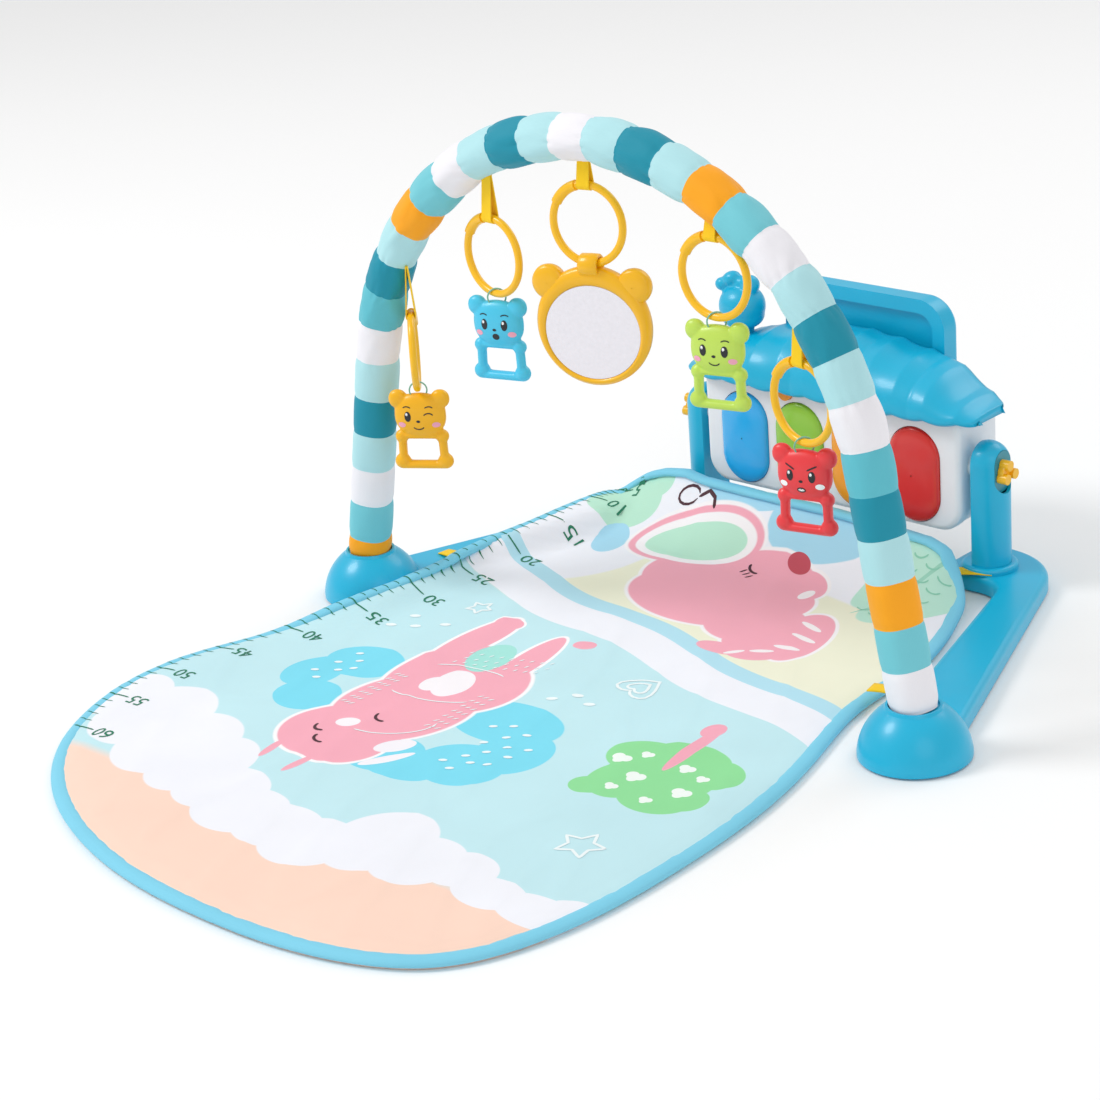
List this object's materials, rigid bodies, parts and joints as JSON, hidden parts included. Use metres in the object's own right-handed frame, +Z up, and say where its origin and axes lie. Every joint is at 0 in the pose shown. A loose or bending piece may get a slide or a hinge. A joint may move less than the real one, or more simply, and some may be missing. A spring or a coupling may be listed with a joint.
{
  "type": "activity play gym",
  "caption": "Baby play gym with a padded mat, a striped fabric-covered arch of hanging rattles and a mirror, and a tilting toy piano between two posts.",
  "frame": {"origin": "On the floor at the middle of the whole gym's outline, seen from above.", "axes": "X is across the gym, left to right seen from the baby's end; Y runs from the front of the mat towards the piano; Z is up."},
  "size_m": [0.5942, 0.7512, 0.4063],
  "materials": {
    "blue_plastic": "moulded, smooth",
    "yellow_plastic": "moulded, smooth",
    "white_plastic": "moulded, smooth",
    "screw_steel": "plated",
    "rubber": "matt",
    "teal_plastic": "moulded, smooth",
    "striped_fabric": "woven polyester",
    "ring_plastic": "moulded, smooth",
    "strap_fabric": "woven polyester",
    "loop_plastic": "moulded, smooth",
    "bear_yellow": "moulded, smooth",
    "bear_blue": "moulded, smooth",
    "bear_green": "moulded, smooth",
    "bear_red": "moulded, smooth",
    "bead_plastic": "plain",
    "mirror_yellow": "moulded, smooth",
    "mirror_film": "polished film",
    "key_blue": "moulded, smooth",
    "key_green": "moulded, smooth",
    "key_yellow": "moulded, smooth",
    "key_red": "moulded, smooth",
    "circuit_board": "plain",
    "button_orange": "moulded, smooth",
    "speaker_black": "plain",
    "black_plastic": "plain",
    "battery_steel": "plated",
    "roof_plastic": "moulded, smooth",
    "mat_fabric": "woven polyester"
  },
  "bodies": {
    "base": {"base_arm_left": "blue_plastic", "base_arm_right": "blue_plastic", "base_covers": "blue_plastic", "base_screws": "screw_steel", "rubber_pads": "rubber", "tower_left": "blue_plastic", "tower_right": "blue_plastic", "knob_plates": "teal_plastic", "arch_tube_left": "white_plastic", "arch_tube_right": "white_plastic", "arch_coupler": "white_plastic", "arch_sleeve": "striped_fabric", "mat": "mat_fabric", "strap_yellow": "strap_fabric", "strap_blue": "strap_fabric", "strap_mirror": "strap_fabric", "strap_green": "strap_fabric", "strap_red": "strap_fabric"},
    "piano": {"piano_front": "white_plastic", "piano_rear": "white_plastic", "contact_board": "circuit_board", "contact_pads": "rubber", "speaker": "speaker_black", "battery_door": "white_plastic", "batteries": "battery_steel", "piano_screws": "screw_steel", "roof_canopy": "roof_plastic", "tray_panel": "roof_plastic"},
    "knob_left": {"lock_knob_left": "yellow_plastic"},
    "knob_right": {"lock_knob_right": "yellow_plastic"},
    "mode_button": {"mode_button": "button_orange"},
    "volume_button": {"volume_button": "button_orange"},
    "power_switch": {"power_switch": "black_plastic"},
    "key_blue": {"key_blue": "key_blue"},
    "key_green": {"key_green": "key_green"},
    "key_yellow": {"key_yellow": "key_yellow"},
    "key_red": {"key_red": "key_red"},
    "ring_yellow": {"ring_yellow": "ring_plastic"},
    "toy_yellow": {"loop_yellow": "loop_plastic", "bear_yellow_front": "bear_yellow", "bear_yellow_back": "bear_yellow", "beads_yellow": "bead_plastic"},
    "ring_blue": {"ring_blue": "ring_plastic"},
    "toy_blue": {"loop_blue": "loop_plastic", "bear_blue_front": "bear_blue", "bear_blue_back": "bear_blue", "beads_blue": "bead_plastic"},
    "ring_mirror": {"ring_mirror": "ring_plastic"},
    "toy_mirror": {"mirror_frame": "mirror_yellow", "mirror_disc": "mirror_film"},
    "ring_green": {"ring_green": "ring_plastic"},
    "toy_green": {"loop_green": "loop_plastic", "bear_green_front": "bear_green", "bear_green_back": "bear_green", "beads_green": "bead_plastic"},
    "ring_red": {"ring_red": "ring_plastic"},
    "toy_red": {"loop_red": "loop_plastic", "bear_red_front": "bear_red", "bear_red_back": "bear_red", "beads_red": "bead_plastic"}
  },
  "joints": [
    {"name": "piano_tilt", "type": "hinge", "parent": "base", "child": "piano", "pos_m": [0, 0.32455, 0.093], "axis": [-1, 0, 0], "range_deg": [0, 45]},
    {"name": "knob_left_turn", "type": "hinge", "parent": "base", "child": "knob_left", "pos_m": [-0.15, 0.32455, 0.093], "axis": [-1, 0, 0], "range_deg": [0, 90]},
    {"name": "knob_right_turn", "type": "hinge", "parent": "base", "child": "knob_right", "pos_m": [0.15, 0.32455, 0.093], "axis": [1, 0, 0], "range_deg": [0, 90]},
    {"name": "key_blue_press", "type": "slide", "parent": "piano", "child": "key_blue", "axis": [0, 1, 0], "range_m": [0, 0.004], "stiffness_N_per_m": 300, "springref_m": -0.001},
    {"name": "key_green_press", "type": "slide", "parent": "piano", "child": "key_green", "axis": [0, 1, 0], "range_m": [0, 0.004], "stiffness_N_per_m": 300, "springref_m": -0.001},
    {"name": "key_yellow_press", "type": "slide", "parent": "piano", "child": "key_yellow", "axis": [0, 1, 0], "range_m": [0, 0.004], "stiffness_N_per_m": 300, "springref_m": -0.001},
    {"name": "key_red_press", "type": "slide", "parent": "piano", "child": "key_red", "axis": [0, 1, 0], "range_m": [0, 0.004], "stiffness_N_per_m": 300, "springref_m": -0.001},
    {"name": "mode_press", "type": "slide", "parent": "piano", "child": "mode_button", "axis": [0, 1, 0], "range_m": [0, 0.0015], "stiffness_N_per_m": 300, "springref_m": -0.001},
    {"name": "volume_press", "type": "slide", "parent": "piano", "child": "volume_button", "axis": [0, 1, 0], "range_m": [0, 0.0015], "stiffness_N_per_m": 300, "springref_m": -0.001},
    {"name": "power_slide", "type": "slide", "parent": "piano", "child": "power_switch", "axis": [1, 0, 0], "range_m": [0, 0.005]},
    {"name": "ring_yellow_swing", "type": "hinge", "parent": "base", "child": "ring_yellow", "pos_m": [-0.182, 0.04855, 0.24025], "axis": [0.6947, -0.7193, 0], "range_deg": [-6, 35]},
    {"name": "toy_yellow_swing", "type": "hinge", "parent": "ring_yellow", "child": "toy_yellow", "pos_m": [-0.182, 0.04855, 0.18475], "axis": [0.6947, -0.7193, 0], "range_deg": [-50, 50]},
    {"name": "ring_blue_swing", "type": "hinge", "parent": "base", "child": "ring_blue", "pos_m": [-0.097, 0.05355, 0.32325], "axis": [0.9945, -0.1045, 0], "range_deg": [-35, 35]},
    {"name": "toy_blue_swing", "type": "hinge", "parent": "ring_blue", "child": "toy_blue", "pos_m": [-0.097, 0.05355, 0.26775], "axis": [0.9945, -0.1045, 0], "range_deg": [-50, 50]},
    {"name": "ring_mirror_swing", "type": "hinge", "parent": "base", "child": "ring_mirror", "pos_m": [-0.004, 0.05355, 0.35825], "axis": [0.9848, 0.1736, 0], "range_deg": [-35, 35]},
    {"name": "toy_mirror_swing", "type": "hinge", "parent": "ring_mirror", "child": "toy_mirror", "pos_m": [-0.004, 0.05355, 0.30275], "axis": [0.9848, 0.1736, 0], "range_deg": [-50, 50]},
    {"name": "ring_green_swing", "type": "hinge", "parent": "base", "child": "ring_green", "pos_m": [0.106, 0.05355, 0.33625], "axis": [1, 0, 0], "range_deg": [-35, 35]},
    {"name": "toy_green_swing", "type": "hinge", "parent": "ring_green", "child": "toy_green", "pos_m": [0.106, 0.05355, 0.28075], "axis": [1, 0, 0], "range_deg": [-50, 50]},
    {"name": "ring_red_swing", "type": "hinge", "parent": "base", "child": "ring_red", "pos_m": [0.169, 0.06155, 0.25725], "axis": [0.9848, -0.1736, 0], "range_deg": [-35, 35]},
    {"name": "toy_red_swing", "type": "hinge", "parent": "ring_red", "child": "toy_red", "pos_m": [0.169, 0.06155, 0.20175], "axis": [0.9848, -0.1736, 0], "range_deg": [-50, 50]}
  ]
}
